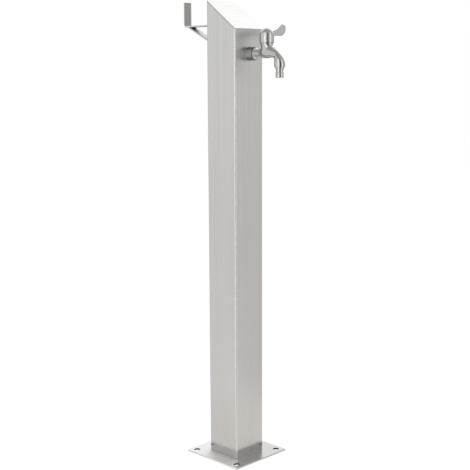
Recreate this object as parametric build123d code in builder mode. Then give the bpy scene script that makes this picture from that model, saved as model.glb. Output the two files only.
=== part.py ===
"""Garden standpipe: a square steel column on a base plate, with a quarter-turn tap and a hose hanger.

The origin is the centre of the base plate's underside, +Z is up, the tap is on the -Y face and the
hose hanger on the +Y face. The tap is shut, with its lever to the +X side. Everything is in millimetres.
"""

import os
from math import atan2, cos, hypot, radians, sin

from build123d import *

# Column: a square tube, cut on a slant and closed by a flat cap
column_width = 80.0
column_wall = 1.5
column_corner_radius = 3.0
column_height = 950.0
top_drop = 58.0
cap_thickness = 2.0

# Base plate, with anchor holes at its corners and an opening for the supply
base_flange = 35.0
base_thickness = 3.0
base_corner_radius = 1.5
base_edge_break = 0.4
anchor_hole_diameter = 12.0
anchor_edge = 15.0
supply_opening_diameter = 50.0

# Clearances
weld_gap = 0.05
thread_clearance = 0.05
seal_clearance = 0.15
running_clearance = 0.05
disc_gap = 0.02
skirt_gap = 0.5

# Socket for the tap, welded through the front wall
tap_drop = 49.5
socket_diameter = 26.4
socket_projection = 16.6
socket_length = 36.0
socket_edge_break = 1.0
pipe_thread_diameter = 20.95

# Hose hanger on the back: a bent flat bar and its brace
hanger_width = 18.0
hanger_thickness = 3.0
hanger_reach = 101.0
hanger_drop = 47.0
hanger_upright_height = 48.0
hanger_bend_radius = 3.0
brace_thickness = 3.0
brace_reach = 91.0
brace_drop = 44.0

# Tap body: inlet, valve barrel and spout
inlet_thread_length = 14.0
inlet_bore_radius = 6.0
washer_thickness = 1.0
shoulder_diameter = 23.6
shoulder_length = 2.5
shoulder_taper = 3.6
pipe_diameter = 17.9
valve_reach = 48.5
barrel_radius = 10.4
barrel_waist_height = 8.0
collar_radius = 13.2
collar_height = 20.0
collar_rim = 1.0
water_way_radius = 4.0
water_way_wall = 1.5
seat_height = 3.5

# Spout: centre line steps out from the valve axis and down from the pipe axis, slope and radius
spout_reach = 34.2
spout_root_radius = 9.7
spout_throat_radius = 6.7
spout_lip_radius = 10.9
spout_lip_flare = 0.1
spout_drop = 26.9
spout_way_radius = 3.9
spout_way_bend = 7.0
spout_way_overlap = 0.5
nozzle_thread_radius = 7.15
nozzle_thread_length = 5.1

# Hose nozzle
nozzle_collar_radius = 8.7
nozzle_collar_length = 2.0
nozzle_cone_length = 3.2
nozzle_cone_radius = 7.6
nozzle_neck_radius = 6.9
nozzle_neck_drop = 8.8
nozzle_neck_length = 0.8
nozzle_tip_radius = 8.0
nozzle_tip_length = 11.0
nozzle_tip_break = 0.8
nozzle_bore_radius = 4.0
nozzle_washer_thickness = 1.5
nozzle_washer_step = 0.6
screen_thickness = 0.8
screen_hole_radius = 0.6
screen_hole_pitch = 2.1

# Valve cartridge
cartridge_thread_radius = 8.5
cartridge_gasket_thickness = 1.0
cartridge_flange_radius = 11.4
cartridge_flange_thickness = 1.5
cartridge_hex_width = 20.0
cartridge_hex_height = 4.0
cartridge_neck_radius = 6.5
cartridge_neck_height = 7.0
cartridge_window_width = 6.0
cartridge_window_height = 4.5
seat_seal_thickness = 2.0
seat_seal_radius = 7.6
seat_seal_width = 2.6
disc_radius = 6.3
disc_thickness = 3.0
disc_port_radius = 1.7
disc_port_reach = 3.4
disc_slot_depth = 1.2
disc_slot_width = 3.0
spindle_foot_thickness = 2.5
spindle_radius = 4.0
spindle_head_radius = 3.8
spindle_shoulder = 0.3
o_ring_section = 1.5
o_ring_squeeze = 0.03
o_ring_rise = 3.0
o_ring_pitch = 3.75
circlip_thickness = 0.8
circlip_radius = 5.5
circlip_groove_radius = 3.3
circlip_mouth = 5.0

# Tap handle: skirt with a round crown of the same radius, and a flat lever
skirt_radius = 14.3
skirt_wall = 2.0
skirt_edge_radius = 1.8
crown_height = 29.0
ceiling_height = 15.0
spindle_engagement = 8.0
lever_reach = 54.3
lever_thickness = 3.6
lever_underside = 14.0
lever_heel_radius = 15.0
lever_tip_radius = 8.0
lever_tip_sweep = 128.0
lever_root_height = 8.0
lever_neck_pull = 12.5
lever_neck_reach = 25.0
lever_edge_radius = 1.2
grub_screw_diameter = 4.0
grub_screw_length = 6.0
grub_key_width = 2.0
grub_key_depth = 2.0
grub_height = 3.2

# Riser inside the column, with a compression fitting at each end
riser_diameter = 15.0
riser_wall = 1.0
fitting_body_radius = 9.0
fitting_thread_radius = 10.2
fitting_thread_length = 11.5
fitting_leg_length = 24.0
fitting_hex_width = 24.0
fitting_hex_height = 6.0
fitting_bore_radius = 5.5
fitting_pipe_depth = 13.0
elbow_thread_length = 13.0
elbow_washer_thickness = 1.5
olive_length = 6.0
olive_radius = 9.2
olive_chamfer = 1.6
olive_clearance = 0.03
nut_width = 24.0
nut_height = 16.0
nut_floor = 4.0
supply_thread_length = 14.0
supply_leg_length = 18.0
supply_height = 10.0
guide_height = 70.0
guide_thickness = 10.0
guide_clearance = 0.3
guide_drain_radius = 11.0
guide_rim = 6.0

# Places worked out from the sizes
front_y = -column_width / 2
back_y = column_width / 2
base_width = column_width + 2 * base_flange
anchor_spacing = base_width - 2 * anchor_edge
tap_height = column_height - top_drop - tap_drop
hanger_arm_top = column_height - hanger_drop
column_bore = column_width - 2 * column_wall
socket_mouth_y = front_y - socket_projection
socket_heel_y = socket_mouth_y + socket_length
thread_radius = pipe_thread_diameter / 2
pipe_radius = pipe_diameter / 2
valve_y = front_y - valve_reach
shoulder_face_y = socket_mouth_y - washer_thickness
outlet_y = valve_y - spout_reach
outlet_z = tap_height - spout_drop
barrel_sphere_z = tap_height - pipe_radius + barrel_radius
collar_z = tap_height + collar_height
seat_z = tap_height + seat_height
way_z = tap_height - pipe_radius + water_way_wall + water_way_radius
inlet_bore_end_y = valve_y + barrel_radius + water_way_wall
outlet_depth = nozzle_thread_length + nozzle_washer_thickness + screen_thickness
grub_z = collar_z + skirt_gap + ceiling_height + grub_height
valve_axis = Axis((0, valve_y, 0), (0, 0, 1))
pipe_axis = Axis((0, 0, tap_height), (0, 1, 0))
outlet_axis = Axis((0, outlet_y, 0), (0, 0, 1))
slope = atan2(top_drop, column_width)
slant_plane = Plane(
    origin=(0, 0, column_height - top_drop / 2),
    x_dir=(1, 0, 0),
    z_dir=(0, -sin(slope), cos(slope)),
)
finished = {}


def finish(piece, name):
    """Name a finished piece and keep it for export."""
    piece.label = name
    finished[name] = piece


def valve_plane(z):
    """Return the level plane at a height, centred on the valve's axis."""
    return Plane(origin=(0, valve_y, z))


def outlet_plane(z):
    """Return the level plane at a height, centred on the outlet's axis."""
    return Plane(origin=(0, outlet_y, z))


def pipe_plane(y):
    """Return the plane across the tap's inlet at a place along Y, facing +Y."""
    return Plane(origin=(0, y, tap_height), x_dir=(-1, 0, 0), z_dir=(0, 1, 0))


def ring(plane, outer_radius, inner_radius, length):
    """Return a plain ring that rises from a plane."""
    with BuildPart() as piece:
        with BuildSketch(plane):
            Circle(outer_radius)
            Circle(inner_radius, mode=Mode.SUBTRACT)
        extrude(amount=length)
    return piece.part


def turned(points, axis, centre_y):
    """Return a solid turned about an upright axis, from its radius and height points."""
    with BuildPart() as piece:
        with BuildSketch(Plane.YZ):
            with BuildLine():
                Polyline(*[(centre_y + radius, height) for radius, height in points], close=True)
            make_face()
        revolve(axis=axis)
    return piece.part


# Base plate
with BuildPart() as base_plate:
    with BuildSketch(Plane.XY):
        RectangleRounded(base_width, base_width, base_corner_radius)
        with GridLocations(anchor_spacing, anchor_spacing, 2, 2):
            Circle(anchor_hole_diameter / 2, mode=Mode.SUBTRACT)
        Circle(supply_opening_diameter / 2, mode=Mode.SUBTRACT)
    extrude(amount=base_thickness)
    chamfer(base_plate.faces().sort_by(Axis.Z)[-1].outer_wire().edges(), base_edge_break)
finish(base_plate.part, "base_plate")

# Column tube, cut on the slant below the cap, with a hole for the socket
with BuildPart() as column_tube:
    with BuildSketch(Plane.XY.offset(base_thickness)):
        RectangleRounded(column_width, column_width, column_corner_radius)
        RectangleRounded(column_bore, column_bore, column_corner_radius - column_wall, mode=Mode.SUBTRACT)
    extrude(amount=column_height - base_thickness)
    split(bisect_by=slant_plane.offset(-cap_thickness), keep=Keep.BOTTOM)
    with BuildSketch(pipe_plane(front_y)):
        Circle(socket_diameter / 2 + weld_gap)
    extrude(amount=2 * column_wall, both=True, mode=Mode.SUBTRACT)
finish(column_tube.part, "column_tube")

# Slanted cap, flush with the outside of the tube
with BuildPart() as top_cap:
    with BuildSketch(Plane.XY.offset(column_height - 2 * top_drop)):
        RectangleRounded(column_width, column_width, column_corner_radius)
    extrude(amount=3 * top_drop)
    split(bisect_by=slant_plane, keep=Keep.BOTTOM)
    split(bisect_by=slant_plane.offset(-cap_thickness), keep=Keep.TOP)
finish(top_cap.part, "top_cap")

# Tap socket, threaded from both ends
with BuildPart() as tap_socket:
    with BuildSketch(pipe_plane(socket_mouth_y)):
        Circle(socket_diameter / 2)
        Circle(thread_radius + thread_clearance, mode=Mode.SUBTRACT)
    extrude(amount=socket_length)
    chamfer(tap_socket.edges().filter_by(GeomType.CIRCLE).sort_by(Axis.Y)[0:2].sort_by(SortBy.LENGTH)[-1],
            socket_edge_break)
finish(tap_socket.part, "tap_socket")

# Hanger hook: a level arm from the back face, bent up at its end
arm_underside = hanger_arm_top - hanger_thickness
hook_end_y = back_y + hanger_reach
with BuildPart() as hanger_hook:
    with BuildSketch(Plane.YZ):
        with BuildLine():
            Polyline(
                (back_y, arm_underside),
                (hook_end_y, arm_underside),
                (hook_end_y, hanger_arm_top + hanger_upright_height),
                (hook_end_y - hanger_thickness, hanger_arm_top + hanger_upright_height),
                (hook_end_y - hanger_thickness, hanger_arm_top),
                (back_y, hanger_arm_top),
                close=True,
            )
        make_face()
    extrude(amount=hanger_width / 2, both=True)
    bend_edges = hanger_hook.edges().filter_by(Axis.X)
    inner_bend = bend_edges.filter_by_position(Axis.Y, back_y + hanger_thickness, hook_end_y - hanger_thickness)
    inner_bend = inner_bend.filter_by_position(Axis.Z, arm_underside, hanger_arm_top)
    fillet(inner_bend, hanger_bend_radius)
    outer_bend = hanger_hook.edges().filter_by(Axis.X).group_by(Axis.Z)[0].sort_by(Axis.Y)[-1]
    fillet(outer_bend, hanger_bend_radius + hanger_thickness)
finish(hanger_hook.part, "hanger_hook")

# Hanger brace, from the arm's underside down to the back face
brace_slope = brace_drop / brace_reach
brace_rise = brace_thickness * hypot(1, brace_slope)
with BuildPart() as hanger_brace:
    with BuildSketch(Plane.YZ):
        with BuildLine():
            Polyline(
                (back_y, arm_underside - brace_drop),
                (back_y + brace_reach, arm_underside),
                (back_y + brace_reach - brace_rise / brace_slope, arm_underside),
                (back_y, arm_underside - brace_drop + brace_rise),
                close=True,
            )
        make_face()
    extrude(amount=hanger_width / 2, both=True)
finish(hanger_brace.part, "hanger_brace")

# Sealing washers at the two ends of the socket
inlet_washer = ring(
    pipe_plane(shoulder_face_y), shoulder_diameter / 2, thread_radius + seal_clearance, washer_thickness
)
finish(inlet_washer, "inlet_washer")
elbow_washer = ring(
    pipe_plane(socket_heel_y), shoulder_diameter / 2, thread_radius + seal_clearance, elbow_washer_thickness
)
finish(elbow_washer, "elbow_washer")

# Spout sections: place out and down, slope of the centre line, radius
spout_sections = (
    (-4.0, -1.4, 0.0, spout_root_radius - 0.4),
    (-10.5, -1.4, 5.0, spout_root_radius),
    (-18.5, 0.9, 24.0, 8.4),
    (-26.2, 4.5, 43.0, spout_throat_radius),
    (-31.4, 10.7, 68.0, 8.0),
    (-33.5, 17.0, 84.0, 10.0),
    (-spout_reach, 23.6, 90.0, spout_lip_radius - spout_lip_flare),
    (-spout_reach, spout_drop, 90.0, spout_lip_radius),
)

# Water way along the spout: places out from the valve axis and down from the pipe axis
spout_way_points = (
    (6.0, -4.8),
    (17.0, -3.6),
    (spout_reach, 10.5),
    (spout_reach, spout_drop - outlet_depth + spout_way_overlap),
)


def spout_plane(out, down, tilt):
    """Return the plane across the spout's centre line at one of its sections."""
    along = radians(tilt)
    return Plane(
        origin=(0, valve_y + out, tap_height - down),
        x_dir=(1, 0, 0),
        z_dir=(0, -cos(along), -sin(along)),
    )


with BuildPart() as tap_body:
    with BuildSketch(Plane.YZ):
        with BuildLine():
            taper_y = shoulder_face_y - shoulder_length
            Polyline(
                (socket_mouth_y + inlet_thread_length, tap_height),
                (socket_mouth_y + inlet_thread_length, tap_height + thread_radius),
                (shoulder_face_y, tap_height + thread_radius),
                (shoulder_face_y, tap_height + shoulder_diameter / 2),
                (taper_y, tap_height + shoulder_diameter / 2),
                (taper_y - shoulder_taper, tap_height + pipe_radius),
                (valve_y, tap_height + pipe_radius),
                (valve_y, tap_height),
                close=True,
            )
        make_face()
    revolve(axis=pipe_axis)
    for out, down, tilt, radius in spout_sections:
        with BuildSketch(spout_plane(out, down, tilt)):
            Circle(radius)
    loft()
    with BuildSketch(Plane.YZ):
        with BuildLine():
            waist_z = tap_height + barrel_waist_height
            bottom = RadiusArc(
                (valve_y, barrel_sphere_z - barrel_radius), (valve_y + barrel_radius, barrel_sphere_z), -barrel_radius
            )
            side = Line(bottom @ 1, (valve_y + barrel_radius, waist_z))
            flare = TangentArc(side @ 1, (valve_y + collar_radius, collar_z - collar_rim), tangent=side % 1)
            rim = Line(flare @ 1, (valve_y + collar_radius, collar_z))
            lid = Line(rim @ 1, (valve_y, collar_z))
            Line(lid @ 1, bottom @ 0)
        make_face()
    revolve(axis=valve_axis)
    # Inlet bore, then the narrow way under the seat and up through it
    with BuildSketch(pipe_plane(socket_mouth_y + inlet_thread_length)):
        Circle(inlet_bore_radius)
    extrude(amount=-(socket_mouth_y + inlet_thread_length - inlet_bore_end_y), mode=Mode.SUBTRACT)
    with BuildSketch(Plane(origin=(0, inlet_bore_end_y, way_z), x_dir=(1, 0, 0), z_dir=(0, -1, 0))):
        Circle(water_way_radius)
    extrude(amount=inlet_bore_end_y - valve_y, mode=Mode.SUBTRACT)
    with BuildSketch(valve_plane(way_z)):
        Circle(water_way_radius)
    extrude(amount=seat_z - way_z, mode=Mode.SUBTRACT)
    # Threaded chamber for the cartridge, and the way out of it along the spout
    with BuildSketch(valve_plane(seat_z)):
        Circle(cartridge_thread_radius + thread_clearance)
    extrude(amount=collar_z - seat_z, mode=Mode.SUBTRACT)
    with BuildLine(Plane.YZ) as spout_way:
        FilletPolyline(
            *[(valve_y - out, tap_height - down) for out, down in spout_way_points],
            radius=spout_way_bend,
        )
    with BuildSketch(Plane(spout_way.line @ 0, z_dir=spout_way.line % 0)):
        Circle(spout_way_radius)
    sweep(path=spout_way.line, mode=Mode.SUBTRACT)
    with BuildSketch(outlet_plane(outlet_z)):
        Circle(nozzle_thread_radius + thread_clearance)
    extrude(amount=outlet_depth, mode=Mode.SUBTRACT)
finish(tap_body.part, "tap_body")

# Hose nozzle, screwed into the outlet, with its washer and flow screen above it
nozzle_collar_z = outlet_z - nozzle_collar_length
nozzle_neck_z = outlet_z - nozzle_neck_drop
nozzle_tip_z = nozzle_neck_z - nozzle_neck_length
nozzle_end_z = nozzle_tip_z - nozzle_tip_length
nozzle_outline = (
    (nozzle_bore_radius, nozzle_end_z),
    (nozzle_tip_radius - nozzle_tip_break, nozzle_end_z),
    (nozzle_tip_radius, nozzle_end_z + nozzle_tip_break),
    (nozzle_tip_radius, nozzle_tip_z - nozzle_tip_break),
    (nozzle_tip_radius - nozzle_tip_break, nozzle_tip_z),
    (nozzle_neck_radius, nozzle_tip_z),
    (nozzle_neck_radius, nozzle_neck_z),
    (nozzle_cone_radius, nozzle_collar_z - nozzle_cone_length),
    (nozzle_collar_radius, nozzle_collar_z),
    (nozzle_collar_radius, outlet_z),
    (nozzle_thread_radius, outlet_z),
    (nozzle_thread_radius, outlet_z + nozzle_thread_length),
    (nozzle_bore_radius, outlet_z + nozzle_thread_length),
)
finish(turned(nozzle_outline, outlet_axis, outlet_y), "hose_nozzle")
nozzle_washer_z = outlet_z + nozzle_thread_length
nozzle_washer = ring(
    outlet_plane(nozzle_washer_z),
    nozzle_thread_radius - seal_clearance,
    nozzle_bore_radius + nozzle_washer_step,
    nozzle_washer_thickness,
)
finish(nozzle_washer, "nozzle_washer")
with BuildPart() as flow_screen:
    with BuildSketch(outlet_plane(nozzle_washer_z + nozzle_washer_thickness)):
        Circle(nozzle_thread_radius - seal_clearance)
        Circle(screen_hole_radius, mode=Mode.SUBTRACT)
        for turn in (1, 2):
            with PolarLocations(turn * screen_hole_pitch, 6 * turn):
                Circle(screen_hole_radius, mode=Mode.SUBTRACT)
    extrude(amount=screen_thickness)
finish(flow_screen.part, "flow_screen")

# Cartridge: gasket under its flange, housing, seat seal and fixed disc
housing_foot_z = seat_z + seat_seal_thickness
fixed_disc_top = housing_foot_z + disc_thickness
moving_disc_z = fixed_disc_top + disc_gap
foot_z = moving_disc_z + disc_thickness
foot_top_z = foot_z + spindle_foot_thickness
chamber_top_z = foot_top_z + running_clearance
flange_z = collar_z + cartridge_gasket_thickness
hex_z = flange_z + cartridge_flange_thickness
neck_z = hex_z + cartridge_hex_height
neck_top_z = neck_z + cartridge_neck_height
cartridge_gasket = ring(
    valve_plane(collar_z),
    cartridge_flange_radius,
    cartridge_thread_radius + seal_clearance,
    cartridge_gasket_thickness,
)
finish(cartridge_gasket, "cartridge_gasket")
with BuildPart() as cartridge_housing:
    with BuildSketch(valve_plane(housing_foot_z)):
        Circle(cartridge_thread_radius)
    extrude(amount=flange_z - housing_foot_z)
    with BuildSketch(valve_plane(flange_z)):
        Circle(cartridge_flange_radius)
    extrude(amount=cartridge_flange_thickness)
    with BuildSketch(valve_plane(hex_z)):
        RegularPolygon(cartridge_hex_width / 2, 6, major_radius=False)
    extrude(amount=cartridge_hex_height)
    with BuildSketch(valve_plane(neck_z)):
        Circle(cartridge_neck_radius)
    extrude(amount=cartridge_neck_height)
    with BuildSketch(valve_plane(housing_foot_z)):
        Circle(disc_radius + seal_clearance)
    extrude(amount=chamber_top_z - housing_foot_z, mode=Mode.SUBTRACT)
    with BuildSketch(valve_plane(chamber_top_z)):
        Circle(spindle_radius + running_clearance)
    extrude(amount=neck_top_z - chamber_top_z, mode=Mode.SUBTRACT)
    with BuildSketch(valve_plane(moving_disc_z)):
        Rectangle(cartridge_window_width, 2 * cartridge_flange_radius)
    extrude(amount=cartridge_window_height, mode=Mode.SUBTRACT)
finish(cartridge_housing.part, "cartridge_housing")
seat_seal = ring(
    valve_plane(seat_z), seat_seal_radius, seat_seal_radius - seat_seal_width, seat_seal_thickness
)
finish(seat_seal, "seat_seal")


def ceramic_disc(z):
    """Return a ceramic disc with one water opening in each of two opposite quarters."""
    with BuildPart() as piece:
        with BuildSketch(valve_plane(z)):
            Circle(disc_radius)
            with PolarLocations(disc_port_reach, 2):
                Circle(disc_port_radius, mode=Mode.SUBTRACT)
        extrude(amount=disc_thickness)
    return piece.part


finish(ceramic_disc(housing_foot_z), "fixed_disc")
tongue_depth = disc_slot_depth - running_clearance
with BuildPart() as moving_disc:
    add(ceramic_disc(moving_disc_z).rotate(valve_axis, 90))
    with BuildSketch(valve_plane(foot_z)):
        Rectangle(2 * disc_radius, disc_slot_width)
    extrude(amount=-disc_slot_depth, mode=Mode.SUBTRACT)
finish(moving_disc.part, "moving_disc")

# Spindle: a foot with a tongue in the moving disc's slot, grooves for two rings and a clip
circlip_z = neck_top_z + running_clearance
stem_top_z = circlip_z + circlip_thickness + spindle_shoulder
skirt_z = collar_z + skirt_gap
ceiling_z = skirt_z + ceiling_height
head_top_z = ceiling_z + spindle_engagement
o_ring_centre_radius = spindle_radius + running_clearance - o_ring_squeeze - o_ring_section / 2
o_ring_heights = (chamber_top_z + o_ring_rise, chamber_top_z + o_ring_rise + o_ring_pitch)
with BuildPart() as spindle:
    with BuildSketch(valve_plane(foot_z)):
        Circle(disc_radius)
    extrude(amount=spindle_foot_thickness)
    with BuildSketch(valve_plane(foot_z - tongue_depth)):
        Rectangle(disc_radius, disc_slot_width - 2 * running_clearance)
    extrude(amount=tongue_depth)
    with BuildSketch(valve_plane(foot_top_z)):
        Circle(spindle_radius)
    extrude(amount=stem_top_z - foot_top_z)
    with BuildSketch(valve_plane(stem_top_z)):
        Circle(spindle_head_radius)
    extrude(amount=head_top_z - stem_top_z)
    for ring_z in o_ring_heights:
        with BuildSketch(valve_plane(ring_z - o_ring_section / 2)):
            Circle(spindle_radius + running_clearance)
            Circle(o_ring_centre_radius - o_ring_section / 2, mode=Mode.SUBTRACT)
        extrude(amount=o_ring_section, mode=Mode.SUBTRACT)
    with BuildSketch(valve_plane(circlip_z)):
        Circle(spindle_radius + running_clearance)
        Circle(circlip_groove_radius, mode=Mode.SUBTRACT)
    extrude(amount=circlip_thickness, mode=Mode.SUBTRACT)
finish(spindle.part, "spindle")
with BuildPart() as spindle_o_rings:
    for ring_z in o_ring_heights:
        with BuildSketch(Plane.YZ):
            with Locations((valve_y + o_ring_centre_radius, ring_z)):
                Circle(o_ring_section / 2)
        revolve(axis=valve_axis)
finish(spindle_o_rings.part, "spindle_o_rings")
with BuildPart() as spindle_circlip:
    with BuildSketch(valve_plane(circlip_z)):
        Circle(circlip_radius)
        Circle(circlip_groove_radius, mode=Mode.SUBTRACT)
        with Locations((0, circlip_radius)):
            Rectangle(circlip_mouth, 2 * circlip_radius, mode=Mode.SUBTRACT)
    extrude(amount=circlip_thickness)
finish(spindle_circlip.part, "spindle_circlip")

# Handle: hollow skirt under a half ball, with the lever standing out to +X
crown_z = skirt_z + crown_height - skirt_radius
lever_z = skirt_z + lever_underside
with BuildPart() as lever:
    with BuildSketch(Plane.XZ.offset(-valve_y)):
        with BuildLine():
            heel = CenterArc((lever_reach - lever_heel_radius, lever_z + lever_heel_radius), lever_heel_radius, -90, 90)
            tip = CenterArc((lever_reach - lever_tip_radius, lever_z + lever_heel_radius), lever_tip_radius, 0, lever_tip_sweep)
            root_top = Vector(0, lever_z + lever_root_height)
            upper = Bezier(
                tip @ 1,
                tip @ 1 + (tip % 1) * lever_neck_pull,
                root_top + Vector(lever_neck_reach, 0),
                root_top,
            )
            root = Line(upper @ 1, (0, lever_z))
            Line(root @ 1, heel @ 0)
        make_face()
    extrude(amount=lever_thickness / 2, both=True)
    rims = lever.faces().filter_by(Axis.Y).edges().filter_by_position(Axis.X, lever_thickness, lever_reach)
    fillet(rims, lever_edge_radius)
with BuildPart() as handle:
    with BuildSketch(Plane.YZ):
        with BuildLine():
            floor_line = Line((valve_y, skirt_z), (valve_y + skirt_radius, skirt_z))
            wall_line = Line(floor_line @ 1, (valve_y + skirt_radius, crown_z))
            crown = RadiusArc(wall_line @ 1, (valve_y, crown_z + skirt_radius), -skirt_radius)
            Line(crown @ 1, floor_line @ 0)
        make_face()
        fillet(vertices().group_by(Axis.Y)[-1].sort_by(Axis.Z)[0], skirt_edge_radius)
    revolve(axis=valve_axis)
    add(lever.part)
    with BuildSketch(valve_plane(skirt_z)):
        Circle(skirt_radius - skirt_wall)
    extrude(amount=ceiling_height, mode=Mode.SUBTRACT)
    with BuildSketch(valve_plane(ceiling_z)):
        Circle(spindle_head_radius + thread_clearance)
    extrude(amount=spindle_engagement, mode=Mode.SUBTRACT)
    with BuildSketch(Plane(origin=(0, valve_y, grub_z), x_dir=(-1, 0, 0), z_dir=(0, 1, 0))):
        Circle(grub_screw_diameter / 2 + thread_clearance)
    extrude(amount=skirt_radius, mode=Mode.SUBTRACT)
finish(handle.part, "handle")
with BuildPart() as handle_grub_screw:
    with BuildSketch(Plane(origin=(0, valve_y + spindle_head_radius, grub_z), x_dir=(-1, 0, 0), z_dir=(0, 1, 0))):
        Circle(grub_screw_diameter / 2)
    extrude(amount=grub_screw_length)
    with BuildSketch(handle_grub_screw.faces().sort_by(Axis.Y)[-1]):
        RegularPolygon(grub_key_width / 2, 6, major_radius=False)
    extrude(amount=-grub_key_depth, mode=Mode.SUBTRACT)
finish(handle_grub_screw.part, "handle_grub_screw")

# Riser: elbow behind the socket, tube down the column, supply adapter at its foot
riser_radius = riser_diameter / 2
pipe_socket_radius = riser_radius + thread_clearance
leg_end_z = tap_height - fitting_leg_length
with BuildPart() as riser_elbow:
    with BuildSketch(pipe_plane(socket_heel_y - elbow_thread_length)):
        Circle(thread_radius)
    extrude(amount=elbow_thread_length + elbow_washer_thickness)
    with BuildSketch(pipe_plane(socket_heel_y + elbow_washer_thickness)):
        RegularPolygon(fitting_hex_width / 2, 6, major_radius=False)
    extrude(amount=fitting_hex_height)
    with BuildSketch(pipe_plane(socket_heel_y)):
        Circle(fitting_body_radius)
    extrude(amount=-socket_heel_y)
    with Locations((0, 0, tap_height)):
        Sphere(fitting_body_radius)
    with BuildSketch(Plane.XY.offset(leg_end_z)):
        Circle(fitting_body_radius)
    extrude(amount=fitting_leg_length)
    with BuildSketch(Plane.XY.offset(leg_end_z)):
        Circle(fitting_thread_radius)
    extrude(amount=fitting_thread_length)
    with BuildSketch(pipe_plane(socket_heel_y - elbow_thread_length)):
        Circle(fitting_bore_radius)
    extrude(amount=elbow_thread_length - socket_heel_y, mode=Mode.SUBTRACT)
    with BuildSketch(Plane.XY.offset(leg_end_z)):
        Circle(fitting_bore_radius)
    extrude(amount=fitting_leg_length, mode=Mode.SUBTRACT)
    with BuildSketch(Plane.XY.offset(leg_end_z)):
        Circle(pipe_socket_radius)
    extrude(amount=fitting_pipe_depth, mode=Mode.SUBTRACT)
finish(riser_elbow.part, "riser_elbow")

supply_hex_z = supply_height + supply_thread_length
supply_leg_z = supply_hex_z + fitting_hex_height
supply_leg_end_z = supply_leg_z + supply_leg_length
with BuildPart() as supply_adapter:
    with BuildSketch(Plane.XY.offset(supply_height)):
        Circle(thread_radius)
    extrude(amount=supply_thread_length)
    with BuildSketch(Plane.XY.offset(supply_hex_z)):
        RegularPolygon(fitting_hex_width / 2, 6, major_radius=False)
    extrude(amount=fitting_hex_height)
    with BuildSketch(Plane.XY.offset(supply_leg_z)):
        Circle(fitting_body_radius)
    extrude(amount=supply_leg_length)
    with BuildSketch(Plane.XY.offset(supply_leg_end_z - fitting_thread_length)):
        Circle(fitting_thread_radius)
    extrude(amount=fitting_thread_length)
    with BuildSketch(Plane.XY.offset(supply_height)):
        Circle(fitting_bore_radius)
    extrude(amount=supply_leg_end_z - supply_height, mode=Mode.SUBTRACT)
    with BuildSketch(Plane.XY.offset(supply_leg_end_z - fitting_pipe_depth)):
        Circle(pipe_socket_radius)
    extrude(amount=fitting_pipe_depth, mode=Mode.SUBTRACT)
finish(supply_adapter.part, "supply_adapter")

riser_foot_z = supply_leg_end_z - fitting_pipe_depth + running_clearance
riser_top_z = leg_end_z + fitting_pipe_depth - running_clearance
riser_tube = ring(
    Plane.XY.offset(riser_foot_z), riser_radius, riser_radius - riser_wall, riser_top_z - riser_foot_z
)
finish(riser_tube, "riser_tube")


def olive(end_plane):
    """Return the soft ring that the nut squeezes onto the riser, from the end of a fitting's leg."""
    with BuildPart() as piece:
        with BuildSketch(end_plane):
            Circle(olive_radius)
            Circle(riser_radius + olive_clearance, mode=Mode.SUBTRACT)
        extrude(amount=olive_length)
        outer = piece.edges().filter_by(GeomType.CIRCLE).sort_by(SortBy.LENGTH)[-2:]
        chamfer(outer, olive_chamfer, olive_chamfer / 2)
    return piece.part


def compression_nut(end_plane):
    """Return the nut that closes over a fitting's leg and its olive."""
    with BuildPart() as piece:
        with BuildSketch(end_plane.offset(olive_length + nut_floor - nut_height)):
            RegularPolygon(nut_width / 2, 6, major_radius=False)
            Circle(riser_radius + seal_clearance, mode=Mode.SUBTRACT)
        extrude(amount=nut_height)
        with BuildSketch(end_plane.offset(olive_length + nut_floor - nut_height)):
            Circle(fitting_thread_radius + thread_clearance)
        extrude(amount=nut_height - nut_floor, mode=Mode.SUBTRACT)
    return piece.part


leg_ends = {
    "upper": Plane(origin=(0, 0, leg_end_z), x_dir=(1, 0, 0), z_dir=(0, 0, -1)),
    "lower": Plane.XY.offset(supply_leg_end_z),
}
for end, end_plane in leg_ends.items():
    finish(olive(end_plane), f"{end}_olive")
    finish(compression_nut(end_plane), f"{end}_nut")

# Guide that holds the riser in the middle of the column
guide_width = column_bore - 2 * guide_clearance
with BuildPart() as riser_guide:
    with BuildSketch(Plane.XY.offset(guide_height)):
        RectangleRounded(guide_width, guide_width, column_corner_radius)
        Circle(pipe_socket_radius, mode=Mode.SUBTRACT)
        drain_spacing = guide_width - 2 * (guide_drain_radius + guide_rim)
        with GridLocations(drain_spacing, drain_spacing, 2, 2):
            Circle(guide_drain_radius, mode=Mode.SUBTRACT)
    extrude(amount=guide_thickness)
finish(riser_guide.part, "riser_guide")

os.makedirs("parts", exist_ok=True)
for name, piece in finished.items():
    export_step(piece, f"parts/{name}.step")
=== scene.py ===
"""Dresses the garden standpipe's frame: brushed steel column, cast tap, turned nozzle, welds and stage."""

from math import pi, radians

import bpy
import numpy as np
from bpy.props import FloatProperty, FloatVectorProperty, PointerProperty
from mathutils import Matrix, Vector


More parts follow.
